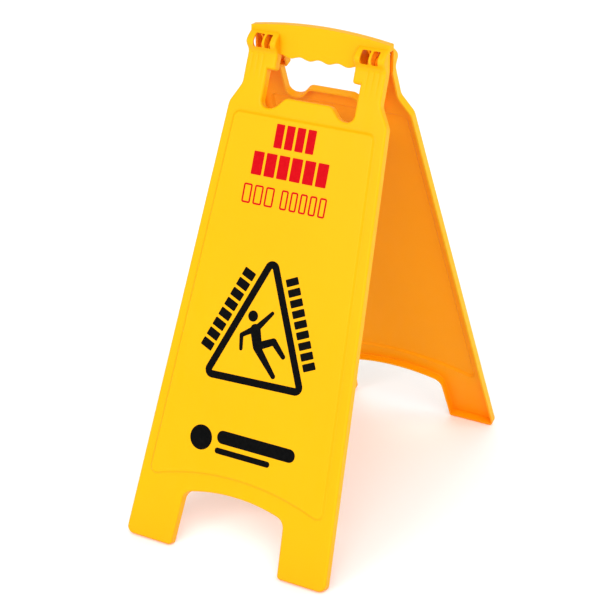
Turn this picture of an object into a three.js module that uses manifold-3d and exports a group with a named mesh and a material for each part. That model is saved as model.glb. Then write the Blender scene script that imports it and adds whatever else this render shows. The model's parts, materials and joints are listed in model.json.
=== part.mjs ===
// Folding two-panel floor caution sign in injection-moulded plastic, standing open.
// Millimetres, +Z up, origin on the floor under the hinge line, front panel towards -Y.
// Both panels are the same moulding; the rear one is turned by half a turn about Z.
import * as THREE from "three";
import { mergeVertices } from "three/addons/utils/BufferGeometryUtils.js";
import Module from "manifold-3d";

const wasm = await Module();
wasm.setup();

// Stance
const OPEN_HALF_ANGLE = THREE.MathUtils.degToRad(22.2);
const PANEL_LENGTH = 625; // hinge axis to foot edge, along the panel
const FOOT_FLAT_CUT = 1.6; // taken off each foot so that it stands on a flat

// Shell
const WALL = 2.4;
const FACE = 11.7; // hinge plane to the flat margin of the face
const BACK_EDGE = 0.3; // hinge plane to the back edge of the rim
const OPEN_GAP = 0.15; // open stop: half the gap between the two top flanges
const EDGE_ROUND = 3.2;
const EDGE_STEPS = 4;
const BACK_REACH = 10; // how far uncut solids run past the hinge plane
const FOOT_SOLID = 5.5;

// Panel outline, measured from the hinge axis
const FOOT_HALF_WIDTH = 142.6;
const FOOT_ROUND = 9.5;
const SHOULDER_LOW = { x: 108.2, y: -73.1 };
const SHOULDER_HIGH = { x: 94.4, y: -48.8 };
const SHOULDER_ROUND = 16;
const ARM_OUTER = 93.8;
const ARM_INNER = 63.7;
const ARM_TOP = -4;
const LEG_INNER_FOOT = 76.2;
const LEG_INNER_ARCH = 71;
const LEG_FOOT_ROUND = 5;
const ARCH_CREST = -544.7;
const ARCH_RADIUS = 246;
const ARCH_CORNER_ROUND = 14;
const ARC_STEPS = 10;

// Hand opening
const NOTCH_FLOOR = -73.6;
const NOTCH_INNER = 45.5;
const NOTCH_OUTER_ROUND = 9;
const NOTCH_INNER_ROUND = 18;
const HUMP_TOP = -58.1;
const HUMP_HALF_WIDTH = 31;
const HUMP_ROUND = 10;

// Raised field
const FIELD_RISE = 3;
const FIELD_TOP = -81.7;
const FIELD_TOP_HALF_WIDTH = 96.7;
const FIELD_FOOT_HALF_WIDTH = 124.3;
const FIELD_FOOT_CREST = -523.9;
const FIELD_FOOT_RADIUS = 352;
const FIELD_ROUND = 9.5;
const FIELD_INSIDE_INSET = 1;

// Knuckle boxes round the hinge
const KNUCKLE_INNER = 52.9;
const KNUCKLE_FLOOR = -27.8;
const KNUCKLE_CEILING = 19.9;
const KNUCKLE_SWELL_START = -12.5;
const KNUCKLE_CREST = { y: 2.5, z: 21.8 };
const KNUCKLE_TOP = { y: 18.6, z: 12.6 };
const KNUCKLE_CORNER_ROUND = 4;
const WINDOW_FLOOR = -3.8;
const WINDOW_CEILING = 12.9;
const WINDOW_ROUND = 1.2;
const WINDOWS = [
  [-83.4, -70.9],
  [-68, -59.8],
  [62, 73.8],
  [76.7, 85.8],
];
const RIB_CENTRES = [-69.45, 75.25]; // behind the bar between two windows
const RIB_THICKNESS = 2.4;
const RIB_NOTCH_RADIUS = 10.2; // clears the other panel's ear
const SIDE_RELIEF = { floor: -10.8, ceiling: 18, depth: 4.4, width: 6 };

// Hinge ears and pins
const EAR_CENTRES = [-77.6, 68.4];
const EAR_THICKNESS = 3;
const EAR_RADIUS = 9.2;
const BORE_RADIUS = 2.5;
const PIN_RADIUS = 2.4;
const PIN_HEAD_RADIUS = 3.9;
const PIN_HEAD_THICKNESS = 1.8;
const PIN_BEAD_RADIUS = 3.1;
const PIN_BEAD_LENGTH = 1.6;
const PIN_END_GAP = 0.3;
const ROUND_STEPS = 32;

// Half-handle
const HANDLE_HALF_WIDTH = 94.3;
const HANDLE_FACE = 6.95;
const HANDLE_LEAN = THREE.MathUtils.degToRad(1.5);
const HANDLE_CREST = 33.4;
const HANDLE_CROWN_RADIUS = 575;
const HANDLE_CROWN_STEPS = 16;
const HANDLE_ROUND = 1.8;
const HANDLE_FLANGE = 2.8;
const GRIP_MEAN = -7.7;
const GRIP_WAVE = 1.5;
const GRIP_PITCH = 26;
const GRIP_STEP = 3.25;

// Flutes down the arms below the knuckles
const FLUTE_CENTRES = [71.2, 78.8, 86.4];
const FLUTE_RADIUS = 4.5;
const FLUTE_DEPTH = 0.7;
const FLUTE_TOP = -14;
const FLUTE_LENGTH = 40; // over which a flute fades out

const FAR = 800;

function toSolid(geometry) {
  const bare = geometry.clone();
  bare.deleteAttribute("normal");
  bare.deleteAttribute("uv");
  const merged = mergeVertices(bare, 1e-4);
  return new wasm.Manifold(
    new wasm.Mesh({
      numProp: 3,
      vertProperties: new Float32Array(merged.attributes.position.array),
      triVerts: new Uint32Array(merged.index.array),
    }),
  );
}

function toGeometry(solid) {
  const mesh = solid.getMesh();
  const geometry = new THREE.BufferGeometry();
  geometry.setAttribute("position", new THREE.BufferAttribute(new Float32Array(mesh.vertProperties), 3));
  geometry.setIndex(new THREE.BufferAttribute(new Uint32Array(mesh.triVerts), 1));
  geometry.computeVertexNormals();
  return geometry;
}

function unionOf(solids) {
  return solids.reduce((sum, next) => sum.add(next));
}

// A closed shape through corners { x, y, round }, each rounded by an arc.
function roundedShape(corners) {
  const shape = new THREE.Shape();
  corners.forEach((corner, index) => {
    const before = corners[(index + corners.length - 1) % corners.length];
    const after = corners[(index + 1) % corners.length];
    const here = new THREE.Vector2(corner.x, corner.y);
    const inward = new THREE.Vector2(before.x, before.y).sub(here).normalize();
    const outward = new THREE.Vector2(after.x, after.y).sub(here).normalize();
    const half = Math.acos(THREE.MathUtils.clamp(inward.dot(outward), -1, 1)) / 2;
    const round = corner.round ?? 0;
    if (round === 0) {
      if (index === 0) shape.moveTo(here.x, here.y);
      else shape.lineTo(here.x, here.y);
      return;
    }
    const start = here.clone().addScaledVector(inward, round / Math.tan(half));
    const centre = here.clone().addScaledVector(inward.clone().add(outward).normalize(), round / Math.sin(half));
    const end = here.clone().addScaledVector(outward, round / Math.tan(half));
    const clockwise = inward.cross(outward) > 0;
    if (index === 0) shape.moveTo(start.x, start.y);
    else shape.lineTo(start.x, start.y);
    const from = Math.atan2(start.y - centre.y, start.x - centre.x);
    const to = Math.atan2(end.y - centre.y, end.x - centre.x);
    shape.absarc(centre.x, centre.y, round, from, to, clockwise);
  });
  return shape;
}

// Extrudes a shape from z = back to z = front, shrunk by inset, with a rounded or chamfered front edge.
function extrude(shape, back, front, { inset = 0, edge = 0, steps = EDGE_STEPS, curve = 3 } = {}) {
  const geometry = new THREE.ExtrudeGeometry(shape, {
    depth: front - back - 2 * edge,
    curveSegments: curve,
    bevelEnabled: edge > 0 || inset > 0,
    bevelThickness: edge,
    bevelSize: edge,
    bevelOffset: -inset - edge,
    bevelSegments: edge > 0 ? steps : 0,
  });
  return geometry.translate(0, 0, back + edge);
}

// Lays a shape drawn in (y, z) along x, from one x to the other.
function alongX(shape, from, to, options) {
  const turn = new THREE.Matrix4().makeBasis(
    new THREE.Vector3(0, 1, 0),
    new THREE.Vector3(0, 0, 1),
    new THREE.Vector3(1, 0, 0),
  );
  return extrude(shape, from, to, options).applyMatrix4(turn);
}

function block(x0, x1, y0, y1, z0, z1) {
  const box = new THREE.BoxGeometry(x1 - x0, y1 - y0, z1 - z0);
  return box.translate((x0 + x1) / 2, (y0 + y1) / 2, (z0 + z1) / 2);
}

// Turns a geometry drawn upright (open stance, y up, z out) into the leaning panel's own frame.
function upright(geometry, lean = 0) {
  return geometry.rotateX(OPEN_HALF_ANGLE - lean);
}

function crest(x, crestY, radius) {
  return crestY - radius + Math.sqrt(radius * radius - x * x);
}

// Points along a shallow arch from x = from to x = to, ends left out.
function archPoints(from, to, crestY, radius) {
  const points = [];
  for (let step = 1; step < ARC_STEPS; step += 1) {
    const x = from + ((to - from) * step) / ARC_STEPS;
    points.push({ x, y: crest(x, crestY, radius) });
  }
  return points;
}

function mirrored(points) {
  return points.map((point) => ({ ...point, x: -point.x })).reverse();
}

function panelShape() {
  const rightSide = [
    { x: LEG_INNER_FOOT, y: -PANEL_LENGTH, round: LEG_FOOT_ROUND },
    { x: FOOT_HALF_WIDTH, y: -PANEL_LENGTH, round: FOOT_ROUND },
    { ...SHOULDER_LOW, round: SHOULDER_ROUND },
    { ...SHOULDER_HIGH, round: SHOULDER_ROUND },
    { x: ARM_OUTER, y: ARM_TOP },
    { x: ARM_INNER, y: ARM_TOP },
    { x: ARM_INNER, y: NOTCH_FLOOR, round: NOTCH_OUTER_ROUND },
    { x: NOTCH_INNER, y: NOTCH_FLOOR, round: NOTCH_INNER_ROUND },
    { x: HUMP_HALF_WIDTH, y: HUMP_TOP, round: HUMP_ROUND },
  ];
  const archCorner = {
    x: -LEG_INNER_ARCH,
    y: crest(LEG_INNER_ARCH, ARCH_CREST, ARCH_RADIUS),
    round: ARCH_CORNER_ROUND,
  };
  return roundedShape([
    ...rightSide,
    ...mirrored(rightSide),
    archCorner,
    ...archPoints(-LEG_INNER_ARCH, LEG_INNER_ARCH, ARCH_CREST, ARCH_RADIUS),
    { ...archCorner, x: LEG_INNER_ARCH },
  ]);
}

function fieldShape() {
  const footCorner = {
    x: FIELD_FOOT_HALF_WIDTH,
    y: crest(FIELD_FOOT_HALF_WIDTH, FIELD_FOOT_CREST, FIELD_FOOT_RADIUS),
    round: FIELD_ROUND,
  };
  return roundedShape([
    { ...footCorner, x: -FIELD_FOOT_HALF_WIDTH },
    ...archPoints(-FIELD_FOOT_HALF_WIDTH, FIELD_FOOT_HALF_WIDTH, FIELD_FOOT_CREST, FIELD_FOOT_RADIUS),
    footCorner,
    { x: FIELD_TOP_HALF_WIDTH, y: FIELD_TOP, round: FIELD_ROUND },
    { x: -FIELD_TOP_HALF_WIDTH, y: FIELD_TOP, round: FIELD_ROUND },
  ]);
}

// Half-handle seen from the front: crowned top, finger grips below.
function handleShape() {
  const shape = new THREE.Shape();
  shape.moveTo(-HANDLE_HALF_WIDTH, GRIP_MEAN);
  for (let x = -KNUCKLE_INNER - GRIP_STEP; x <= KNUCKLE_INNER + GRIP_STEP; x += GRIP_STEP) {
    shape.lineTo(x, GRIP_MEAN + GRIP_WAVE * Math.cos((2 * Math.PI * x) / GRIP_PITCH));
  }
  shape.lineTo(HANDLE_HALF_WIDTH, GRIP_MEAN);
  for (let step = 0; step <= HANDLE_CROWN_STEPS; step += 1) {
    const x = HANDLE_HALF_WIDTH - (2 * HANDLE_HALF_WIDTH * step) / HANDLE_CROWN_STEPS;
    shape.lineTo(x, crest(x, HANDLE_CREST, HANDLE_CROWN_RADIUS));
  }
  return shape;
}

// Hollow of the half-handle between two x, open downwards.
function handleHollowShape(from, to) {
  const shape = new THREE.Shape();
  const low = GRIP_MEAN - 2 * GRIP_PITCH;
  shape.moveTo(from, low);
  shape.lineTo(to, low);
  for (let step = 0; step <= HANDLE_CROWN_STEPS; step += 1) {
    const x = to + ((from - to) * step) / HANDLE_CROWN_STEPS;
    shape.lineTo(x, crest(x, HANDLE_CREST, HANDLE_CROWN_RADIUS) - HANDLE_FLANGE);
  }
  return shape;
}

// Knuckle box seen from the side: flat below, swelling over the hinge.
function knuckleShape() {
  const shape = new THREE.Shape();
  const { y: crestY, z: crestZ } = KNUCKLE_CREST;
  shape.moveTo(KNUCKLE_FLOOR, -BACK_REACH);
  shape.lineTo(KNUCKLE_CEILING, -BACK_REACH);
  shape.lineTo(KNUCKLE_CEILING, KNUCKLE_TOP.z - 1);
  shape.lineTo(KNUCKLE_TOP.y, KNUCKLE_TOP.z);
  shape.bezierCurveTo(KNUCKLE_TOP.y - 4, KNUCKLE_TOP.z + 3.8, crestY + 5, crestZ, crestY, crestZ);
  shape.bezierCurveTo(crestY - 7, crestZ, KNUCKLE_SWELL_START + 7.5, FACE, KNUCKLE_SWELL_START, FACE);
  shape.lineTo(KNUCKLE_FLOOR + KNUCKLE_CORNER_ROUND, FACE);
  shape.absarc(
    KNUCKLE_FLOOR + KNUCKLE_CORNER_ROUND,
    FACE - KNUCKLE_CORNER_ROUND,
    KNUCKLE_CORNER_ROUND,
    Math.PI / 2,
    Math.PI,
    false,
  );
  return shape;
}

function knuckleSolids(side) {
  const from = side < 0 ? -ARM_OUTER : KNUCKLE_INNER;
  const to = side < 0 ? -KNUCKLE_INNER : ARM_OUTER;
  const options = { edge: EDGE_ROUND, curve: 5 };
  const outside = toSolid(alongX(knuckleShape(), from, to, options));
  const hollow = toSolid(alongX(knuckleShape(), from + WALL, to - WALL, { inset: WALL, curve: 5 }));
  return { outside, hollow };
}

// Web in (y, z) that carries an ear's disc from under the knuckle's brow.
function earWebShape() {
  const shape = new THREE.Shape();
  shape.moveTo(7.9, 3.2);
  shape.lineTo(16.9, 11.9);
  shape.lineTo(17, 12.9);
  shape.lineTo(13.2, 15.9);
  shape.lineTo(5.9, 5.9);
  return shape;
}

function ear(centre) {
  const from = centre - EAR_THICKNESS / 2;
  const to = centre + EAR_THICKNESS / 2;
  const web = toSolid(alongX(earWebShape(), from, to));
  const eye = new THREE.CylinderGeometry(EAR_RADIUS, EAR_RADIUS, EAR_THICKNESS, ROUND_STEPS);
  const bore = new THREE.CylinderGeometry(BORE_RADIUS, BORE_RADIUS, 2 * EAR_THICKNESS, ROUND_STEPS);
  for (const geometry of [eye, bore]) geometry.rotateZ(Math.PI / 2).translate(centre, 0, 0);
  return web.add(toSolid(eye)).subtract(toSolid(bore));
}

function windowCut([from, to]) {
  const shape = roundedShape([
    { x: from, y: WINDOW_FLOOR, round: WINDOW_ROUND },
    { x: to, y: WINDOW_FLOOR, round: WINDOW_ROUND },
    { x: to, y: WINDOW_CEILING, round: WINDOW_ROUND },
    { x: from, y: WINDOW_CEILING, round: WINDOW_ROUND },
  ]);
  return toSolid(extrude(shape, FACE - WALL - 1, FACE + 3 * WALL + 5, { curve: 2 }));
}

// A rib across the knuckle's hollow, notched round the hinge.
function rib(centre) {
  const from = centre - RIB_THICKNESS / 2;
  const to = centre + RIB_THICKNESS / 2;
  const notch = new THREE.CylinderGeometry(RIB_NOTCH_RADIUS, RIB_NOTCH_RADIUS, 2 * RIB_THICKNESS, 2 * ROUND_STEPS);
  notch.rotateZ(Math.PI / 2).translate(centre, 0, 0);
  return toSolid(alongX(knuckleShape(), from, to, { inset: WALL / 2 })).subtract(toSolid(notch));
}

// A shallow groove that runs out downwards.
function flute(centre) {
  const fade = Math.atan(FLUTE_DEPTH / FLUTE_LENGTH);
  const length = 1.2 * FLUTE_LENGTH;
  const groove = new THREE.CylinderGeometry(FLUTE_RADIUS, FLUTE_RADIUS, length, ROUND_STEPS);
  groove.translate(0, -length / 2, 0).rotateX(-fade);
  groove.translate(centre, FLUTE_TOP, FACE + FLUTE_RADIUS - FLUTE_DEPTH);
  return toSolid(groove);
}

function sideRelief(side) {
  const x0 = side < 0 ? -ARM_OUTER - 2 : ARM_OUTER - SIDE_RELIEF.width;
  const x1 = side < 0 ? -ARM_OUTER + SIDE_RELIEF.width : ARM_OUTER + 2;
  const { floor, ceiling, depth } = SIDE_RELIEF;
  return toSolid(upright(block(x0, x1, floor, ceiling, -BACK_REACH, depth)));
}

function panelSolid() {
  const outline = panelShape();
  const field = fieldShape();
  const plateOutside = toSolid(extrude(outline, -BACK_REACH, FACE, { edge: EDGE_ROUND }));
  const fieldOutside = toSolid(
    extrude(field, 0, FACE + FIELD_RISE, { edge: FIELD_RISE, steps: 1 }),
  );
  const plateHollow = toSolid(extrude(outline, -BACK_REACH - 1, FACE - WALL, { inset: WALL, edge: 1, steps: 2 }));
  const fieldHollow = toSolid(
    extrude(field, -BACK_REACH, FACE + FIELD_RISE - WALL, { inset: FIELD_INSIDE_INSET, edge: FIELD_RISE, steps: 1 }),
  );
  const footSolid = toSolid(extrude(outline, -BACK_REACH, FACE, { edge: EDGE_ROUND })).intersect(
    toSolid(block(-FAR, FAR, -PANEL_LENGTH - 1, -PANEL_LENGTH + FOOT_SOLID, -BACK_REACH, FACE + 1)),
  );
  const knuckles = [-1, 1].map(knuckleSolids);
  const handleOutside = toSolid(
    upright(extrude(handleShape(), -BACK_REACH, HANDLE_FACE, { edge: HANDLE_ROUND, steps: 3 }), HANDLE_LEAN),
  );
  const hollowSpans = [
    [-ARM_OUTER + WALL, -KNUCKLE_INNER - WALL],
    [-KNUCKLE_INNER, KNUCKLE_INNER],
    [KNUCKLE_INNER + WALL, ARM_OUTER - WALL],
  ];
  const handleHollows = hollowSpans.map(([from, to]) =>
    toSolid(upright(extrude(handleHollowShape(from, to), -BACK_REACH - 2, HANDLE_FACE - WALL), HANDLE_LEAN)),
  );
  const middleHollow = handleHollows[1];
  const outside = unionOf([
    plateOutside,
    fieldOutside,
    knuckles[0].outside,
    knuckles[1].outside,
    handleOutside,
  ]);
  const hollow = unionOf([
    plateHollow,
    fieldHollow,
    knuckles[0].hollow,
    knuckles[1].hollow,
    handleHollows[0],
    handleHollows[2],
  ]);
  const abovePanel = toSolid(block(-FAR, FAR, HUMP_TOP + 5, FAR, -FAR, FAR));
  const cuts = [
    middleHollow.intersect(abovePanel),
    ...WINDOWS.map(windowCut),
    ...FLUTE_CENTRES.flatMap((centre) => [flute(centre), flute(-centre)]),
    sideRelief(-1),
    sideRelief(1),
  ];
  const ribs = unionOf(RIB_CENTRES.map(rib));
  const shell = outside.subtract(hollow).add(ribs).add(footSolid).subtract(unionOf(cuts));
  const floorHeight = -PANEL_LENGTH * Math.cos(OPEN_HALF_ANGLE) + FOOT_FLAT_CUT;
  const closedSide = toSolid(block(-FAR, FAR, -FAR, FAR, BACK_EDGE, FAR));
  const openSide = toSolid(upright(block(-FAR, FAR, floorHeight, FAR, OPEN_GAP, FAR)));
  const body = shell.intersect(closedSide).intersect(openSide);
  return unionOf([body, ...EAR_CENTRES.map(ear)]);
}

// Hinge pin along x: head outwards, snap bead inwards.
function pinGeometry(side) {
  const stack = [...EAR_CENTRES, ...EAR_CENTRES.map((centre) => -centre)]
    .filter((centre) => Math.sign(centre) === side)
    .map(Math.abs);
  const inner = Math.min(...stack) - EAR_THICKNESS / 2 - PIN_END_GAP;
  const outer = Math.max(...stack) + EAR_THICKNESS / 2 + PIN_END_GAP;
  const profile = [
    [0, inner - PIN_BEAD_LENGTH],
    [PIN_RADIUS - 0.6, inner - PIN_BEAD_LENGTH],
    [PIN_BEAD_RADIUS, inner - 0.5],
    [PIN_BEAD_RADIUS, inner],
    [PIN_RADIUS, inner],
    [PIN_RADIUS, outer],
    [PIN_HEAD_RADIUS, outer],
    [PIN_HEAD_RADIUS, outer + PIN_HEAD_THICKNESS - 0.6],
    [PIN_HEAD_RADIUS - 0.6, outer + PIN_HEAD_THICKNESS],
    [0, outer + PIN_HEAD_THICKNESS],
  ].map(([x, y]) => new THREE.Vector2(x, y));
  return new THREE.LatheGeometry(profile, ROUND_STEPS).rotateZ((-side * Math.PI) / 2);
}

function material(colour, roughness) {
  return new THREE.MeshStandardMaterial({ color: colour, roughness, metalness: 0 });
}

function named(name, geometry, colour, roughness) {
  const mesh = new THREE.Mesh(geometry, material(colour, roughness));
  mesh.name = name;
  return mesh;
}

const YELLOW = 0xfdc813;
const PIN_YELLOW = 0xf2b80a;
const axisHeight = PANEL_LENGTH * Math.cos(OPEN_HALF_ANGLE) - FOOT_FLAT_CUT;
const panelGeometry = toGeometry(panelSolid());

const frontPanel = named("front_panel", panelGeometry, YELLOW, 0.45);
frontPanel.rotation.x = Math.PI / 2 - OPEN_HALF_ANGLE;

const rearTurn = new THREE.Group();
rearTurn.rotation.z = Math.PI;
const rearPanel = named("rear_panel", panelGeometry.clone(), YELLOW, 0.45);
rearPanel.rotation.x = Math.PI / 2 - OPEN_HALF_ANGLE;
rearTurn.add(rearPanel);

const sign = new THREE.Group();
sign.name = "wet_floor_sign";
sign.position.z = axisHeight;
sign.add(
  frontPanel,
  rearTurn,
  named("left_hinge_pin", pinGeometry(-1), PIN_YELLOW, 0.5),
  named("right_hinge_pin", pinGeometry(1), PIN_YELLOW, 0.5),
);

export default sign;
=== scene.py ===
"""A folding two-panel floor sign in yellow moulded plastic, standing open on a pale floor.

Each panel is drawn in its own leaning frame: x across, y up the panel from the hinge axis, z outwards from
the hinge plane, in millimetres. Solids are swept from outlines and edge profiles, then joined and cut.
"""
import json
import math

import bmesh
import bpy
import numpy as np
from mathutils import Matrix, Quaternion, Vector


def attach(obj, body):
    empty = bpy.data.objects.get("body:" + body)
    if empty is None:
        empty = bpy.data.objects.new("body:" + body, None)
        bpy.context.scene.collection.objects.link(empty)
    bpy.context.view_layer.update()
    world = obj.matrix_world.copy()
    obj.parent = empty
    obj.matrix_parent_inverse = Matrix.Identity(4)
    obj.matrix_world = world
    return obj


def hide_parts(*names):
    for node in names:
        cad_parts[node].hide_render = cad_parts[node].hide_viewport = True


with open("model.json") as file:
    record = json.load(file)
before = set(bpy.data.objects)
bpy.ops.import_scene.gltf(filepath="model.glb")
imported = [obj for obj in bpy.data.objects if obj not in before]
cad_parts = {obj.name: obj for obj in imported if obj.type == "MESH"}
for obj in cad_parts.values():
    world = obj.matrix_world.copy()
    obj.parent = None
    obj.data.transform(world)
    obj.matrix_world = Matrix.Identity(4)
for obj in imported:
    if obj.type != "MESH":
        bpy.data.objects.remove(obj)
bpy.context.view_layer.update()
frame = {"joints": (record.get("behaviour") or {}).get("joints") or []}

FOLD = frame["joints"][0]
AXIS_HEIGHT = FOLD["pos_m"][2]
HALF_ANGLE = math.radians(FOLD["range_deg"][1] / 2)
MM = 0.001

# Camera, in metres
CAMERA_AT = (1.0128, -1.8002, 1.2006)
CAMERA_TOWARDS = (-0.45317, 0.78700, -0.41865)
CAMERA_ROLL = math.radians(-0.23)
CAMERA_LENS = 105.73
CAMERA_SENSOR = 36

# Shell
LENGTH = 625.0  # hinge axis to foot edge, along the panel
FOOT_CUT = 1.6  # taken off each foot so that it stands on a flat
FOOT_SOLID = 5.5
WALL = 2.4
FACE = 11.7  # hinge plane to the flat margin of the face
BACK_EDGE = 0.3  # hinge plane to the back edge of the rim
BACK_REACH = -10.0  # where uncut solids start, behind the hinge plane
OPEN_GAP = 0.15  # half the gap between the two top flanges of the open sign
EDGE = 3.2  # round of the front edge
INNER_EDGE = 1.2  # round of the same edge, inside the shell
OVERCUT = 2.0  # how far a cutting solid runs past what it cuts
FAR = 800.0

# Outline
FOOT_X = 142.6
FOOT_ROUND = 9.5
SHOULDER_LOW = (108.2, -73.1)
SHOULDER_HIGH = (94.4, -48.8)
SHOULDER_ROUND = 16.0
ARM_OUT = 93.8
ARM_IN = 63.7
ARM_TOP = -4.0
LEG_FOOT_X = 76.2
LEG_FOOT_ROUND = 5.0
LEG_ARCH_X = 71.0
ARCH_CREST = -544.7
ARCH_RADIUS = 246.0
ARCH_CORNER_ROUND = 14.0
NOTCH_Y = -73.6
NOTCH_IN = 45.5
NOTCH_OUT_ROUND = 9.0
NOTCH_IN_ROUND = 18.0
HUMP_Y = -58.1
HUMP_X = 31.0
HUMP_ROUND = 10.0

# Raised field
RISE = 3.0
FIELD_TOP = -81.7
FIELD_TOP_X = 96.7
FIELD_FOOT_X = 124.3
FIELD_CREST = -523.9
FIELD_RADIUS = 352.0
FIELD_ROUND = 9.5
FIELD_INSIDE = 1.0
# (inset, height over the margin): a soft foot, a 45 degree flank and a soft brow
FIELD_FLANK = (
    (-1.1, -0.5),
    (-1.1, 0.0),
    (-0.5, 0.12),
    (0.1, 0.45),
    (0.5, 0.8),
    (2.1, 2.4),
    (2.5, 2.72),
    (3.0, 2.92),
    (3.6, RISE),
)

# Knuckles; the swell's pulls are how far each end of its two curves holds its direction
KNUCKLE_IN = 52.9
KNUCKLE_FLOOR = -27.8
KNUCKLE_CEILING = 19.9
KNUCKLE_ROUND = 4.0
SWELL_START = -12.5
SWELL_CREST = (2.5, 21.8)
SWELL_TOP = (18.6, 12.6)
SWELL_LIP = 1.0
START_PULL = 7.5
CREST_PULLS = (7.0, 5.0)
TOP_PULL = (-4.0, 3.8)
WINDOWS = ((-83.4, -70.9), (-68.0, -59.8), (62.0, 73.8), (76.7, 85.8))
WINDOW_Y = (-3.8, 12.9)
WINDOW_ROUND = 1.2
RELIEF_Y = (-10.8, 18.0)
RELIEF_DEPTH = 4.4
RELIEF_WIDTH = 6.0
RIBS = (-69.45, 75.25)
RIB_THICK = 2.4
RIB_NOTCH = 10.2

# Hinge ears and pins; a pin's ends are (radius, distance past the ears)
EARS = (-77.6, 68.4)
EAR_WEB = ((7.9, 3.2), (16.9, 11.9), (17.0, 12.9), (13.2, 15.9), (5.9, 5.9))
EAR_THICK = 3.0
EAR_RADIUS = 9.2
EAR_CHAMFER = 0.4
BORE_RADIUS = 2.5
PIN_RADIUS = 2.4
PIN_PLAY = 0.3
PIN_BEAD = ((0.0, -1.6), (1.5, -1.6), (1.8, -1.5), (3.0, -0.55), (3.1, -0.4), (3.1, -0.1), (3.0, 0.0))
PIN_HEAD = ((3.8, 0.0), (3.9, 0.1), (3.9, 1.2), (3.72, 1.62), (3.3, 1.8), (0.0, 1.8))
PIN_SIDES = 64

# Half-handle
HANDLE_X = 94.3
HANDLE_FACE = 6.95
HANDLE_EDGE = 1.8
HANDLE_LEAN = math.radians(1.5)
HANDLE_CREST = 33.4
CROWN_RADIUS = 575.0
FLANGE = 2.8
CROWN_STEPS = 64
HOLLOW_FOOT = -60.0
HOLLOW_STEPS = 48
HOLLOW_FLOOR = HUMP_Y + 5  # lowest point of the hollow between the knuckles
GRIP_Y = -7.7
GRIP_WAVE = 1.5
GRIP_PITCH = 26.0
GRIP_STEP = 0.8

# Flutes down the arms
FLUTES = (71.2, 78.8, 86.4)
FLUTE_RADIUS = 4.5
FLUTE_DEPTH = 0.7
FLUTE_TOP = -14.0
FLUTE_LENGTH = 40.0
FLUTE_RUN_IN = 4.0

# Print: rows are (x from, x to, y from, y to, blocks)
INK_TOP = FACE + RISE + 0.06
INK_FOOT = FACE + RISE - 0.1
BLOCK_ROUND = 1.2
BOLD_ROWS = ((-33.5, 21.5, -119.0, -90.0, 4), (-57.5, 46.0, -155.0, -126.5, 6))
BOLD_GAP = 3.2
THIN_ROWS = ((-63.5, -20.0, -190.5, -166.5, 3), (-10.5, 51.5, -190.5, -166.5, 5))
THIN_GAP = 3.4
THIN_STROKE = 2.2
THIN_ROUND = 0.5
TRIANGLE = ((-61.0, -398.8), (56.5, -394.5), (-4.0, -260.5))
TRIANGLE_ROUND = 0.8
TRIANGLE_STROKE = 9.3
FLANK_ROW = (18.0, 131.0, 14.2, 31.2)  # along a side of the triangle and out from it
FLANK_COUNTS = (8, 9)
FLANK_GAP = 3.6
FIGURE_HEAD = ((-18.0, -322.5), 6.8)
FIGURE_LIMBS = (
    ((-11.5, -338.0), (-4.5, -357.5), 7.2, 6.4),
    ((-10.0, -336.0), (7.5, -314.0), 4.2, 2.4),
    ((-14.0, -338.0), (-29.0, -348.0), 4.0, 2.8),
    ((-29.0, -348.0), (-26.5, -364.5), 2.8, 2.4),
    ((-4.5, -357.0), (16.0, -347.0), 5.0, 4.4),
    ((16.0, -347.0), (32.0, -362.0), 4.4, 3.2),
    ((-4.5, -359.0), (23.5, -388.0), 5.4, 3.2),
)
BADGE_DOT = ((-58.5, -482.5), 15.5)
BADGE_BARS = ((-36.5, 72.5, -484.0, -467.5, 8.0), (-36.5, 41.0, -497.0, -489.5, 3.6))


# ---------------------------------------------------------------- outlines

def crest(x, top, radius):
    """The height at x of an arc that peaks at top over x = 0."""
    return top - radius + math.sqrt(radius * radius - x * x)


def rounded(corners, step=0.9):
    """A closed outline through (x, y, radius) corners, with arcs cut into chords of about one step."""
    points = []
    count = len(corners)
    for i, (x, y, radius) in enumerate(corners):
        here = np.array((x, y))
        if radius == 0:
            points.append(here)
            continue
        before = np.array(corners[i - 1][:2]) - here
        after = np.array(corners[(i + 1) % count][:2]) - here
        before /= np.linalg.norm(before)
        after /= np.linalg.norm(after)
        half = math.acos(np.clip(before @ after, -1, 1)) / 2
        centre = here + (before + after) / np.linalg.norm(before + after) * radius / math.sin(half)
        start = here + before * radius / math.tan(half) - centre
        sweep = math.pi - 2 * half
        if before[0] * after[1] - before[1] * after[0] > 0:
            sweep = -sweep
        steps = max(4, int(abs(sweep) * radius / step))
        for k in range(steps + 1):
            c = math.cos(sweep * k / steps)
            s = math.sin(sweep * k / steps)
            points.append(centre + (start[0] * c - start[1] * s, start[0] * s + start[1] * c))
    return np.array(points)


def rectangle(x0, x1, y0, y1, radius, step=0.35):
    return rounded([(x0, y0, radius), (x1, y0, radius), (x1, y1, radius), (x0, y1, radius)], step)


def circle(centre, radius, sides=48):
    turn = np.linspace(0, 2 * math.pi, sides + 1)[:-1]
    return np.array(centre) + radius * np.stack([np.cos(turn), np.sin(turn)], 1)


def arch(half, top, radius, lead=10.0, steps=48):
    """Points along a shallow arch, starting far enough in to leave room for the rounded corners."""
    return [(x, crest(x, top, radius), 0) for x in np.linspace(lead - half, half - lead, steps + 1)]


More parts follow.
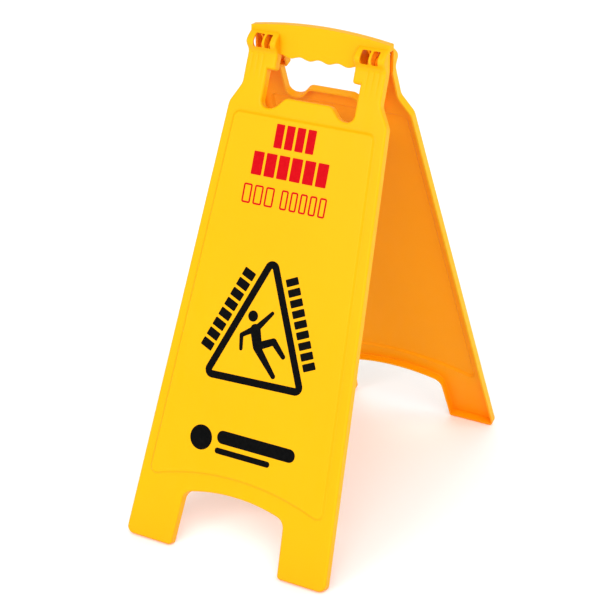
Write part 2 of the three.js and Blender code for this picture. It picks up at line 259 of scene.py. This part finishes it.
def panel_outline():
    right = [
        (LEG_FOOT_X, -LENGTH, LEG_FOOT_ROUND),
        (FOOT_X, -LENGTH, FOOT_ROUND),
        (*SHOULDER_LOW, SHOULDER_ROUND),
        (*SHOULDER_HIGH, SHOULDER_ROUND),
        (ARM_OUT, ARM_TOP, 0),
        (ARM_IN, ARM_TOP, 0),
        (ARM_IN, NOTCH_Y, NOTCH_OUT_ROUND),
        (NOTCH_IN, NOTCH_Y, NOTCH_IN_ROUND),
        (HUMP_X, HUMP_Y, HUMP_ROUND),
    ]
    left = [(-x, y, r) for x, y, r in reversed(right)]
    corner_y = crest(LEG_ARCH_X, ARCH_CREST, ARCH_RADIUS)
    return rounded(
        right
        + left
        + [(-LEG_ARCH_X, corner_y, ARCH_CORNER_ROUND)]
        + arch(LEG_ARCH_X, ARCH_CREST, ARCH_RADIUS)
        + [(LEG_ARCH_X, corner_y, ARCH_CORNER_ROUND)]
    )


def field_outline():
    foot_y = crest(FIELD_FOOT_X, FIELD_CREST, FIELD_RADIUS)
    return rounded(
        [(-FIELD_FOOT_X, foot_y, FIELD_ROUND)]
        + arch(FIELD_FOOT_X, FIELD_CREST, FIELD_RADIUS, lead=15.0, steps=64)
        + [
            (FIELD_FOOT_X, foot_y, FIELD_ROUND),
            (FIELD_TOP_X, FIELD_TOP, FIELD_ROUND),
            (-FIELD_TOP_X, FIELD_TOP, FIELD_ROUND),
        ]
    )


def handle_outline():
    """A crowned top and a grip with a wave for each finger."""
    reach = KNUCKLE_IN + GRIP_PITCH / 8
    points = [(-HANDLE_X, GRIP_Y)]
    for x in np.arange(-reach, reach + 0.1, GRIP_STEP):
        points.append((x, GRIP_Y + GRIP_WAVE * math.cos(2 * math.pi * x / GRIP_PITCH)))
    points.append((HANDLE_X, GRIP_Y))
    for x in np.linspace(HANDLE_X, -HANDLE_X, CROWN_STEPS + 1):
        points.append((x, crest(x, HANDLE_CREST, CROWN_RADIUS)))
    return np.array(points)


def handle_hollow_outline(x0, x1):
    points = [(x0, HOLLOW_FOOT), (x1, HOLLOW_FOOT)]
    for x in np.linspace(x1, x0, HOLLOW_STEPS + 1):
        points.append((x, crest(x, HANDLE_CREST, CROWN_RADIUS) - FLANGE))
    return np.array(points)


def bezier(a, b, c, d, steps=20):
    t = np.linspace(0, 1, steps + 1)[:, None]
    a, b, c, d = map(np.array, (a, b, c, d))
    return (1 - t) ** 3 * a + 3 * (1 - t) ** 2 * t * b + 3 * (1 - t) * t * t * c + t ** 3 * d


def knuckle_outline():
    """In (y, z): flat over the arm, swelling over the hinge."""
    top_y, top_z = SWELL_TOP
    crest_y, crest_z = SWELL_CREST
    below, above = CREST_PULLS
    top_handle = (top_y + TOP_PULL[0], top_z + TOP_PULL[1])
    upper = bezier(SWELL_TOP, top_handle, (crest_y + above, crest_z), SWELL_CREST)
    start_handle = (SWELL_START + START_PULL, FACE)
    lower = bezier(SWELL_CREST, (crest_y - below, crest_z), start_handle, (SWELL_START, FACE))
    back_corner = (KNUCKLE_FLOOR, BACK_REACH)
    front_corner = (KNUCKLE_FLOOR, FACE, KNUCKLE_ROUND)
    arc = rounded([(*back_corner, 0), front_corner, (SWELL_START - 1, FACE, 0)], step=0.5)[1:-1][::-1]
    start = [back_corner, (KNUCKLE_CEILING, BACK_REACH), (KNUCKLE_CEILING, top_z - SWELL_LIP)]
    return np.vstack([start, upper, lower[1:], arc])


# ---------------------------------------------------------------- solids

def inset(points, distance):
    """The outline moved inwards by a distance along each corner's mitre, held back at sharp corners."""
    before = points - np.roll(points, 1, axis=0)
    after = np.roll(points, -1, axis=0) - points
    before /= np.linalg.norm(before, axis=1)[:, None]
    after /= np.linalg.norm(after, axis=1)[:, None]
    mitre = np.stack([-before[:, 1], before[:, 0]], 1) + np.stack([-after[:, 1], after[:, 0]], 1)
    mitre /= np.maximum((mitre * mitre).sum(1) / 2, 0.3)[:, None]
    return points + mitre * distance


def without_repeats(points, gap=1e-4):
    keep = np.linalg.norm(points - np.roll(points, 1, axis=0), axis=1) > gap
    return points[keep]


def bridge(mesh, low, high):
    """Joins two rings of vertices; a ring of one vertex is a point on the axis."""
    count = max(len(low), len(high))
    for i in range(count):
        j = (i + 1) % count
        corners = [low[i % len(low)], low[j % len(low)], high[j % len(high)], high[i % len(high)]]
        mesh.faces.new(list(dict.fromkeys(corners)))


def swept(points, profile):
    """A closed mesh from an outline and (inset, height) pairs, lowest first."""
    points = without_repeats(points)
    mesh = bmesh.new()
    rings = []
    for distance, height in profile:
        rings.append([mesh.verts.new((x, y, height)) for x, y in inset(points, distance)])
    for low, high in zip(rings, rings[1:]):
        bridge(mesh, low, high)
    caps = [mesh.faces.new(list(reversed(rings[0]))), mesh.faces.new(rings[-1])]
    mesh.normal_update()
    bmesh.ops.triangulate(mesh, faces=caps)
    return mesh


def quarter(radius, top, steps=8, extra=0.0):
    """The rounded front edge: (inset, height) from the side wall over to the face."""
    return [
        (extra + radius * (1 - math.cos(a)), top - radius * (1 - math.sin(a)))
        for a in np.linspace(0, math.pi / 2, steps + 1)
    ]


ALONG_X = Matrix(((0, 0, 1, 0), (1, 0, 0, 0), (0, 1, 0, 0), (0, 0, 0, 1)))


def upright(lean=0.0):
    return Matrix.Rotation(HALF_ANGLE - lean, 4, "X")


def turned(mesh, matrix):
    bmesh.ops.transform(mesh, matrix=matrix, verts=mesh.verts)
    return mesh


def block(x0, x1, y0, y1, z0, z1):
    mesh = bmesh.new()
    bmesh.ops.create_cube(mesh, size=1)
    size = Matrix.Diagonal((x1 - x0, y1 - y0, z1 - z0, 1))
    return turned(mesh, Matrix.Translation(((x0 + x1) / 2, (y0 + y1) / 2, (z0 + z1) / 2)) @ size)


def cylinder(radius, length, sides):
    mesh = bmesh.new()
    bmesh.ops.create_cone(mesh, cap_ends=True, segments=sides, radius1=radius, radius2=radius, depth=length)
    return mesh


def rod(x, radius, length, sides=56):
    lie = Matrix.Rotation(math.pi / 2, 4, "Y")
    return turned(cylinder(radius, length, sides), Matrix.Translation((x, 0, 0)) @ lie)


def as_object(mesh, name):
    data = bpy.data.meshes.new(name)
    bmesh.ops.recalc_face_normals(mesh, faces=mesh.faces)
    mesh.to_mesh(data)
    mesh.free()
    thing = bpy.data.objects.new(name, data)
    bpy.context.scene.collection.objects.link(thing)
    return thing


def drop(thing):
    data = thing.data
    bpy.data.objects.remove(thing)
    bpy.data.meshes.remove(data)


def combine(base, others, operation):
    """Joins or cuts base with the other meshes or objects, which are used up."""
    for mesh in others:
        other = mesh if isinstance(mesh, bpy.types.Object) else as_object(mesh, "tool")
        modifier = base.modifiers.new("boolean", "BOOLEAN")
        modifier.operation = operation
        modifier.solver = "MANIFOLD"
        modifier.object = other
        evaluated = base.evaluated_get(bpy.context.evaluated_depsgraph_get())
        data = bpy.data.meshes.new_from_object(evaluated)
        old = base.data
        base.modifiers.clear()
        base.data = data
        bpy.data.meshes.remove(old)
        drop(other)
    return base


# ---------------------------------------------------------------- panels

def knuckle_solid(side, wall):
    """The knuckle box on the left (-1) or right (1), or its hollow if a wall thickness is given."""
    x0, x1 = (-ARM_OUT, -KNUCKLE_IN) if side < 0 else (KNUCKLE_IN, ARM_OUT)
    if wall:
        profile = [(wall, x0 + wall), (wall, x1 - wall)]
    else:
        rise = quarter(EDGE, x1)
        profile = [(d, x0 + x1 - h) for d, h in reversed(rise)] + rise
    return turned(swept(knuckle_outline(), profile), ALONG_X)


def rib_solid(x):
    """A rib across the knuckle's hollow behind the bar between two windows, notched round the hinge."""
    profile = [(WALL / 2, x - RIB_THICK / 2), (WALL / 2, x + RIB_THICK / 2)]
    solid = as_object(turned(swept(knuckle_outline(), profile), ALONG_X), "rib")
    return combine(solid, [rod(x, RIB_NOTCH, 3 * RIB_THICK, sides=96)], "DIFFERENCE")


def ear_solid(x):
    """An eye round the hinge axis on a web that reaches into the knuckle's wall."""
    half = EAR_THICK / 2
    profile = [(EAR_CHAMFER, -half), (0, EAR_CHAMFER - half), (0, half - EAR_CHAMFER), (EAR_CHAMFER, half)]
    profile = [(d, x + h) for d, h in profile]
    solid = as_object(turned(swept(np.array(EAR_WEB), profile), ALONG_X), "ear")
    combine(solid, [turned(swept(circle((0, 0), EAR_RADIUS, sides=64), profile), ALONG_X)], "UNION")
    return combine(solid, [rod(x, BORE_RADIUS, 3 * EAR_THICK)], "DIFFERENCE")


def window_solid(x0, x1):
    outline = rectangle(x0, x1, *WINDOW_Y, WINDOW_ROUND, step=0.3)
    return swept(outline, [(0, FACE - WALL - 1), (0, SWELL_CREST[1] + OVERCUT)])


def flute_solid(x):
    """A nearly flat-lying cylinder that cuts a flute: it fades out downwards and narrows at its top."""
    length = 1.2 * FLUTE_LENGTH
    mesh = cylinder(FLUTE_RADIUS, length, sides=96)
    crown = [face for face in mesh.faces if face.normal.z > 0.5]
    grown = bmesh.ops.extrude_face_region(mesh, geom=crown)["geom"]
    bmesh.ops.delete(mesh, geom=crown, context="FACES")
    for vert in grown:
        if isinstance(vert, bmesh.types.BMVert):
            vert.co.x *= 1 - FLUTE_DEPTH / FLUTE_RADIUS
            vert.co.y *= 1 - FLUTE_DEPTH / FLUTE_RADIUS
            vert.co.z += FLUTE_RUN_IN
    lie = Matrix.Rotation(-math.pi / 2, 4, "X")
    drop_down = Matrix.Translation((0, -length / 2, 0))
    fade = Matrix.Rotation(-math.atan(FLUTE_DEPTH / FLUTE_LENGTH), 4, "X")
    lay = Matrix.Translation((x, FLUTE_TOP, FACE + FLUTE_RADIUS - FLUTE_DEPTH))
    return turned(mesh, lay @ fade @ drop_down @ lie)


def plate_solid():
    """The whole panel outline, solid from behind the hinge plane to the face."""
    return swept(panel_outline(), [(0, BACK_REACH)] + quarter(EDGE, FACE))


def handle_hollow(x0, x1):
    """The space under the half-handle's top flange and behind its face, from x0 to x1."""
    profile = [(0, BACK_REACH - OVERCUT), (0, HANDLE_FACE - WALL)]
    return turned(swept(handle_hollow_outline(x0, x1), profile), upright(HANDLE_LEAN))


def relief_solid(x0, x1):
    return turned(block(x0, x1, *RELIEF_Y, BACK_REACH, RELIEF_DEPTH), upright())


def outer_solids():
    """What stands on the plate: the field, the knuckle boxes and the half-handle."""
    handle_profile = [(0, BACK_REACH)] + quarter(HANDLE_EDGE, HANDLE_FACE, steps=6)
    return [
        swept(field_outline(), [(distance, FACE + height) for distance, height in FIELD_FLANK]),
        knuckle_solid(-1, 0),
        knuckle_solid(1, 0),
        turned(swept(handle_outline(), handle_profile), upright(HANDLE_LEAN)),
    ]


def hollow_solids():
    """The insides of the rim, the field, the knuckle boxes and the half-handle's ends."""
    rim = [(WALL, BACK_REACH - OVERCUT), (WALL, FACE - WALL - INNER_EDGE)]
    rim += quarter(INNER_EDGE, FACE - WALL, steps=4, extra=WALL)[1:]
    field = [(FIELD_INSIDE, 0.0), (FIELD_INSIDE, FACE - WALL), (FIELD_INSIDE + RISE, FACE + RISE - WALL)]
    return [
        swept(panel_outline(), rim),
        swept(field_outline(), field),
        knuckle_solid(-1, WALL),
        knuckle_solid(1, WALL),
        handle_hollow(-ARM_OUT + WALL, -KNUCKLE_IN - WALL),
        handle_hollow(KNUCKLE_IN + WALL, ARM_OUT - WALL),
    ]


def detail_cuts():
    """The hollow between the knuckles, the windows, the flutes and the relief at the arms' outer edges."""
    middle = as_object(handle_hollow(-KNUCKLE_IN, KNUCKLE_IN), "middle")
    combine(middle, [block(-FAR, FAR, HOLLOW_FLOOR, FAR, -FAR, FAR)], "INTERSECT")
    cuts = [middle]
    cuts += [window_solid(*window) for window in WINDOWS]
    cuts += [flute_solid(side * x) for x in FLUTES for side in (-1, 1)]
    cuts.append(relief_solid(-ARM_OUT - OVERCUT, -ARM_OUT + RELIEF_WIDTH))
    cuts.append(relief_solid(ARM_OUT - RELIEF_WIDTH, ARM_OUT + OVERCUT))
    return cuts


def panel_object(name):
    """The whole moulding: a hollowed shell with ribs, solid feet, cut details and hinge ears."""
    plate = as_object(plate_solid(), name)
    combine(plate, outer_solids(), "UNION")
    combine(plate, hollow_solids(), "DIFFERENCE")
    combine(plate, [rib_solid(x) for x in RIBS], "UNION")
    foot = as_object(plate_solid(), "foot")
    foot_zone = block(-FAR, FAR, -LENGTH - OVERCUT, -LENGTH + FOOT_SOLID, BACK_REACH, FACE + OVERCUT)
    combine(foot, [foot_zone], "INTERSECT")
    combine(plate, [foot], "UNION")
    combine(plate, detail_cuts(), "DIFFERENCE")
    floor = -LENGTH * math.cos(HALF_ANGLE) + FOOT_CUT
    combine(plate, [block(-FAR, FAR, -FAR, FAR, BACK_EDGE, FAR)], "INTERSECT")
    combine(plate, [turned(block(-FAR, FAR, floor, FAR, OPEN_GAP, FAR), upright())], "INTERSECT")
    return combine(plate, [ear_solid(x) for x in EARS], "UNION")


def tidy(thing):
    """Merges stray points and rejoins flat faces that the cuts left in pieces."""
    mesh = bmesh.new()
    mesh.from_mesh(thing.data)
    bmesh.ops.remove_doubles(mesh, verts=mesh.verts, dist=2e-3)
    bmesh.ops.dissolve_degenerate(mesh, edges=mesh.edges, dist=1e-3)
    bmesh.ops.dissolve_limit(mesh, angle_limit=math.radians(0.05), verts=mesh.verts, edges=mesh.edges)
    mesh.to_mesh(thing.data)
    mesh.free()


def smooth_fan(first, left):
    """The face corners at a vertex that smooth edges join to the first one, taken out of those left."""
    fan = [first]
    for loop in fan:
        for edge in (loop.edge, loop.link_loop_prev.edge):
            if not edge.smooth:
                continue
            for near in [near for face in edge.link_faces for near in face.loops]:
                if near in left:
                    left.discard(near)
                    fan.append(near)
    return fan


def soften(thing, angle=32):
    """Smooth normals where faces meet under this angle, led by the largest face, so that flats stay flat."""
    limit = math.radians(angle)
    mesh = bmesh.new()
    mesh.from_mesh(thing.data)
    areas = [face.calc_area() for face in mesh.faces]
    for edge in mesh.edges:
        edge.smooth = len(edge.link_faces) == 2 and edge.calc_face_angle(0) < limit
    for face in mesh.faces:
        face.smooth = True
    normals = [None] * len(thing.data.loops)
    for vert in mesh.verts:
        left = set(vert.link_loops)
        while left:
            fan = smooth_fan(left.pop(), left)
            total = sum((loop.face.normal * areas[loop.face.index] for loop in fan), Vector((0, 0, 0)))
            total.normalize()
            for loop in fan:
                normals[loop.index] = total
    mesh.to_mesh(thing.data)
    mesh.free()
    thing.data.normals_split_custom_set(normals)


def place(thing, turn=False):
    """Puts a piece drawn in the panel's frame where the standing panel is, in metres."""
    stand = Matrix.Translation((0, 0, AXIS_HEIGHT)) @ Matrix.Rotation(math.pi if turn else 0, 4, "Z")
    lean = Matrix.Rotation(math.pi / 2 - HALF_ANGLE, 4, "X")
    thing.data.transform(stand @ lean @ Matrix.Scale(MM, 4))


def faces_inwards(face, rim_depth=1.0, facing_back=-0.3, facing_sideways=0.9):
    """1 for a face that lines the hollow of a panel or a knuckle, 0 for the outside and the rim's edges; the
    faces marked 1 get a deeper orange copy of the plastic as painted shade.
    """
    x, y, z = face.center
    depth = min(z, z * math.cos(HALF_ANGLE) - y * math.sin(HALF_ANGLE))
    lining = face.normal.z < facing_back and depth > rim_depth
    in_knuckle = KNUCKLE_IN + 1 < abs(x) < ARM_OUT - 1 and y > KNUCKLE_FLOOR and z < FACE
    return int(lining or in_knuckle and abs(face.normal.x) > facing_sideways)


front = panel_object("front_shell")
tidy(front)
soften(front)
# faces lining the hollows, which get the deeper orange copy of the plastic as painted shade
painted_shade_faces = [faces_inwards(face) for face in front.data.polygons]
rear = bpy.data.objects.new("rear_shell", front.data.copy())
bpy.context.scene.collection.objects.link(rear)
for shell, body, node, turn in ((front, "front", "front_panel", False), (rear, "rear", "rear_panel", True)):
    place(shell, turn)
    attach(shell, body)
    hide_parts(node)


# ---------------------------------------------------------------- pins

def pin_object(name, side):
    """A shaft through one side's ears, turned about the hinge axis, from its snap bead to its head."""
    stack = [abs(x) for ear in EARS for x in (ear, -ear) if x * side > 0]
    inner = min(stack) - EAR_THICK / 2 - PIN_PLAY
    outer = max(stack) + EAR_THICK / 2 + PIN_PLAY
    profile = [(radius, inner + past) for radius, past in PIN_BEAD]
    profile += [(PIN_RADIUS, inner), (PIN_RADIUS, outer)]
    profile += [(radius, outer + past) for radius, past in PIN_HEAD]
    angles = [2 * math.pi * k / PIN_SIDES for k in range(PIN_SIDES)]
    mesh = bmesh.new()
    rings = []
    for radius, x in profile:
        around = angles if radius else angles[:1]
        rings.append([mesh.verts.new((side * x, radius * math.cos(a), radius * math.sin(a))) for a in around])
    for low, high in zip(rings, rings[1:]):
        bridge(mesh, low, high)
    return as_object(mesh, name)


pins = []
for name, node, side in (("left_pin", "left_hinge_pin", -1), ("right_pin", "right_hinge_pin", 1)):
    pin = pin_object(name, side)
    soften(pin)
    place(pin)
    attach(pin, "front")
    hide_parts(node)
    pins.append(pin)


# ---------------------------------------------------------------- print

def film(points):
    return swept(points, [(0, INK_FOOT), (0, INK_TOP)])


def ring_film(points, width):
    """A film between an outline and the same outline moved out by a width."""
    outer = inset(points, -width)
    mesh = bmesh.new()
    rings = [
        [mesh.verts.new((x, y, height)) for x, y in ring]
        for ring, height in ((points, INK_FOOT), (points, INK_TOP), (outer, INK_TOP), (outer, INK_FOOT))
    ]
    for low, high in zip(rings, rings[1:] + rings[:1]):
        bridge(mesh, low, high)
    return mesh


def laid_along(points, origin, angle):
    """Points (along, across) laid from an origin in the direction of an angle."""
    c, s = math.cos(angle), math.sin(angle)
    along, across = points.T
    return np.array(origin) + np.stack([along * c - across * s, along * s + across * c], 1)


def limb(a, b, radius_a, radius_b, end_points=15):
    """A bar with round ends, tapering from a to b."""
    a, b = np.array(a), np.array(b)
    along = math.atan2(*(b - a)[::-1])
    lean = math.asin((radius_a - radius_b) / np.linalg.norm(b - a))
    ends = []
    for centre, radius, start, stop in (
        (b, radius_b, along - math.pi / 2 + lean, along + math.pi / 2 - lean),
        (a, radius_a, along + math.pi / 2 - lean, along + 3 * math.pi / 2 + lean),
    ):
        for angle in np.linspace(start, stop, end_points):
            ends.append(centre + radius * np.array((math.cos(angle), math.sin(angle))))
    return np.array(ends)


def row_of_blocks(x0, x1, y0, y1, count, gap, radius=BLOCK_ROUND):
    width = (x1 - x0 + gap) / count
    return [rectangle(x0 + i * width, x0 + (i + 1) * width - gap, y0, y1, radius) for i in range(count)]


def joined(meshes, name):
    whole = bmesh.new()
    for mesh in meshes:
        data = bpy.data.meshes.new("part")
        bmesh.ops.recalc_face_normals(mesh, faces=mesh.faces)
        mesh.to_mesh(data)
        mesh.free()
        whole.from_mesh(data)
        bpy.data.meshes.remove(data)
    return as_object(whole, name)


def red_print(name):
    """Two rows of solid blocks over a row of thin frames."""
    meshes = []
    for row in BOLD_ROWS:
        meshes += [film(points) for points in row_of_blocks(*row, BOLD_GAP)]
    for x0, x1, y0, y1, count in THIN_ROWS:
        inner = (x0 + THIN_STROKE, x1 - THIN_STROKE, y0 + THIN_STROKE, y1 - THIN_STROKE)
        for points in row_of_blocks(*inner, count, THIN_GAP + 2 * THIN_STROKE, radius=THIN_ROUND):
            meshes.append(ring_film(points, THIN_STROKE))
    return joined(meshes, name)


def figure_mesh():
    figure = as_object(film(limb(*FIGURE_LIMBS[0])), "figure")
    combine(figure, [film(limb(*ends)) for ends in FIGURE_LIMBS[1:]], "UNION")
    mesh = bmesh.new()
    mesh.from_mesh(figure.data)
    drop(figure)
    return mesh


def black_print(name):
    """A triangle with a falling figure, blocks along two of its sides, and a plain badge below."""
    triangle = rounded([(x, y, TRIANGLE_ROUND) for x, y in TRIANGLE], step=0.08)
    meshes = [ring_film(triangle, TRIANGLE_STROKE)]
    left, right, apex = (np.array(corner) for corner in TRIANGLE)
    for (origin, towards), count in zip(((left, apex), (apex, right)), FLANK_COUNTS):
        along = math.atan2(*(towards - origin)[::-1])
        for points in row_of_blocks(*FLANK_ROW, count, FLANK_GAP):
            meshes.append(film(laid_along(points, origin, along)))
    meshes.append(film(circle(*FIGURE_HEAD)))
    meshes.append(figure_mesh())
    meshes.append(film(circle(*BADGE_DOT)))
    meshes += [film(rectangle(*bar)) for bar in BADGE_BARS]
    return joined(meshes, name)


prints = []
for body, turn in (("front", False), ("rear", True)):
    for colour, build in (("red", red_print), ("black", black_print)):
        ink = build(f"{body}_{colour}_print")
        place(ink, turn)
        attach(ink, body)
        prints.append((ink, colour))


# ---------------------------------------------------------------- materials

def new_material(name):
    mat = bpy.data.materials.new(name)
    mat.use_nodes = True
    return mat, mat.node_tree, mat.node_tree.nodes["Principled BSDF"]


def noise(tree, vector, scale, detail):
    node = tree.nodes.new("ShaderNodeTexNoise")
    node.inputs["Scale"].default_value = scale
    node.inputs["Detail"].default_value = detail
    tree.links.new(vector, node.inputs["Vector"])
    return node.outputs["Fac"]


def ramp(tree, value, low, high):
    """A colour ramp between two (position, colour) stops."""
    node = tree.nodes.new("ShaderNodeValToRGB")
    for element, (position, colour) in zip(node.color_ramp.elements, (low, high)):
        element.position = position
        element.color = (*colour, 1)
    tree.links.new(value, node.inputs["Fac"])
    return node.outputs["Color"]


def remap(tree, value, to_min, to_max, from_min=0.0, from_max=1.0):
    node = tree.nodes.new("ShaderNodeMapRange")
    node.inputs["From Min"].default_value = from_min
    node.inputs["From Max"].default_value = from_max
    node.inputs["To Min"].default_value = to_min
    node.inputs["To Max"].default_value = to_max
    tree.links.new(value, node.inputs["Value"])
    return node.outputs["Result"]


def bump(tree, height, strength, distance, normal=None):
    node = tree.nodes.new("ShaderNodeBump")
    node.inputs["Strength"].default_value = strength
    node.inputs["Distance"].default_value = distance
    tree.links.new(height, node.inputs["Height"])
    if normal:
        tree.links.new(normal, node.inputs["Normal"])
    return node.outputs["Normal"]


def painted_shade_tint(tree, colour_in, painted_shade_colour):
    """Painted shade: the colour turning to a deeper orange where faces shade each other, found by ambient
    occlusion.
    """
    shade = tree.nodes.new("ShaderNodeAmbientOcclusion")
    shade.samples = 4
    shade.inputs["Distance"].default_value = 0.09
    mix = tree.nodes.new("ShaderNodeMix")
    mix.data_type = "RGBA"
    base, over = (socket for socket in mix.inputs if socket.type == "RGBA" and socket.name in ("A", "B"))
    over.default_value = (*painted_shade_colour, 1)
    depth = remap(tree, shade.outputs["AO"], 0.0, 1.0, from_min=0.85, from_max=0.35)
    tree.links.new(depth, mix.inputs["Factor"])
    tree.links.new(colour_in, base)
    return next(socket for socket in mix.outputs if socket.type == "RGBA")


def moulded(name, colour, painted_shade_colour, rough, grain):
    """Moulded plastic: slight tone drift, painted shade that deepens the colour where faces shade each other,
    satin grain and rubbing.
    """
    mat, tree, shader = new_material(name)
    place_in = tree.nodes.new("ShaderNodeTexCoord").outputs["Object"]

    darker = [c * 0.97 for c in colour]
    drift = ramp(tree, noise(tree, place_in, scale=7.0, detail=3.0), (0.3, darker), (0.7, colour))
    # painted shade: the drifting colour turns deeper orange in hollows and between parts
    tree.links.new(painted_shade_tint(tree, drift, painted_shade_colour), shader.inputs["Base Color"])

    edge = tree.nodes.new("ShaderNodeBevel")
    edge.samples = 4
    edge.inputs["Radius"].default_value = 0.0005
    waves = noise(tree, place_in, scale=14.0, detail=1.0)
    ripple = bump(tree, waves, strength=0.25, distance=0.002, normal=edge.outputs["Normal"])
    pits = noise(tree, place_in, scale=900.0, detail=3.0)
    satin = bump(tree, pits, strength=grain, distance=0.0004, normal=ripple)
    tree.links.new(satin, shader.inputs["Normal"])

    stretch = tree.nodes.new("ShaderNodeMapping")
    stretch.inputs["Scale"].default_value = (90.0, 90.0, 6.0)
    tree.links.new(place_in, stretch.inputs["Vector"])
    scuff = noise(tree, stretch.outputs["Vector"], scale=1.0, detail=5.0)
    rubbed = remap(tree, scuff, rough - 0.05, rough + 0.07, from_min=0.3, from_max=0.7)
    tree.links.new(rubbed, shader.inputs["Roughness"])
    shader.inputs["IOR"].default_value = 1.46
    shader.inputs["Specular IOR Level"].default_value = 0.12
    return mat


def ink_film(name, colour, rough=0.45):
    """Screen print: an even film with a faint orange-peel and slightly uneven gloss."""
    mat, tree, shader = new_material(name)
    place_in = tree.nodes.new("ShaderNodeTexCoord").outputs["Object"]
    cover = noise(tree, place_in, scale=260.0, detail=4.0)
    lighter = [c * 1.12 + 0.002 for c in colour]
    tree.links.new(ramp(tree, cover, (0.35, colour), (0.8, lighter)), shader.inputs["Base Color"])
    tree.links.new(remap(tree, cover, rough - 0.06, rough + 0.08), shader.inputs["Roughness"])
    peel = noise(tree, place_in, scale=900.0, detail=2.0)
    tree.links.new(bump(tree, peel, strength=0.12, distance=0.0003), shader.inputs["Normal"])
    shader.inputs["Specular IOR Level"].default_value = 0.05
    return mat


def paint(thing, *materials):
    thing.data.materials.clear()
    for mat in materials:
        thing.data.materials.append(mat)


panel_plastic = moulded("panel_plastic", (0.81, 0.405, 0.001), (1.0, 0.30, 0.001), rough=0.38, grain=0.16)
# a deeper orange copy of the panel plastic for the faces lining the hollows: painted shade
painted_shade_plastic = moulded("painted_shade_plastic", (0.83, 0.315, 0.001), (1.0, 0.275, 0.001), rough=0.46, grain=0.16)
pin_plastic = moulded("pin_plastic", (0.80, 0.36, 0.001), (0.88, 0.22, 0.001), rough=0.42, grain=0.1)
inks = {
    "red": ink_film("red_ink", (0.50, 0.0, 0.004)),
    "black": ink_film("black_ink", (0.001, 0.001, 0.001)),
}
for shell in (front, rear):
    paint(shell, panel_plastic, painted_shade_plastic)
    shell.data.polygons.foreach_set("material_index", painted_shade_faces)
for pin in pins:
    paint(pin, pin_plastic)
for ink, colour in prints:
    paint(ink, inks[colour])


# ---------------------------------------------------------------- stage

def floor_stage(half_size=30, sink=0.0005):
    mesh = bmesh.new()
    bmesh.ops.create_grid(mesh, x_segments=1, y_segments=1, size=half_size)
    floor = as_object(mesh, "floor")
    floor.location.z = -sink
    mat, _, shader = new_material("pale_floor")
    shader.inputs["Base Color"].default_value = (0.97, 0.97, 0.97, 1)
    shader.inputs["Roughness"].default_value = 0.8
    shader.inputs["Specular IOR Level"].default_value = 0.2
    floor.data.materials.append(mat)


def studio_sky(strength, glossy_strength):
    """An even white sky, dimmer where it is mirrored."""
    world = bpy.data.worlds.new("studio")
    bpy.context.scene.world = world
    world.use_nodes = True
    tree = world.node_tree
    sky = tree.nodes["Background"].inputs
    sky["Color"].default_value = (1, 1, 1, 1)
    seen_by = tree.nodes.new("ShaderNodeLightPath")
    tree.links.new(remap(tree, seen_by.outputs["Is Glossy Ray"], strength, glossy_strength), sky["Strength"])


def aim(lamp, place_at, target):
    lamp.location = place_at
    lamp.rotation_euler = (Vector(target) - Vector(place_at)).to_track_quat("-Z", "Y").to_euler()
    bpy.context.scene.collection.objects.link(lamp)


def area_light(name, place_at, size, power, target=(0, 0, 0.34)):
    data = bpy.data.lights.new(name, "AREA")
    data.shape = "RECTANGLE"
    data.size, data.size_y = size
    data.energy = power
    aim(bpy.data.objects.new(name, data), place_at, target)


def sun_light(name, towards, strength, spread):
    data = bpy.data.lights.new(name, "SUN")
    data.energy = strength
    data.angle = math.radians(spread)
    aim(bpy.data.objects.new(name, data), towards, (0, 0, 0))


def add_camera():
    camera = bpy.data.cameras.new("camera")
    camera.sensor_width = CAMERA_SENSOR
    camera.lens = CAMERA_LENS
    camera.clip_end = 50
    eye = bpy.data.objects.new("camera", camera)
    eye.location = CAMERA_AT
    look = Vector(CAMERA_TOWARDS).normalized().to_track_quat("-Z", "Y")
    eye.rotation_euler = (look @ Quaternion((0, 0, 1), CAMERA_ROLL)).to_euler()
    bpy.context.scene.collection.objects.link(eye)
    bpy.context.scene.camera = eye


floor_stage()
studio_sky(strength=0.62, glossy_strength=0.2)
sun_light("key", (0.5, -0.72, 0.75), strength=1.8, spread=50)
sun_light("fill", (-0.35, 0.8, 0.55), strength=0.65, spread=60)
area_light("sheen", (-0.6, -2.8, 1.9), size=(1.3, 0.8), power=30)
area_light("side", (2.6, 0.9, 1.1), size=(1.2, 1.8), power=20)
add_camera()
bpy.context.scene.view_settings.view_transform = "Standard"
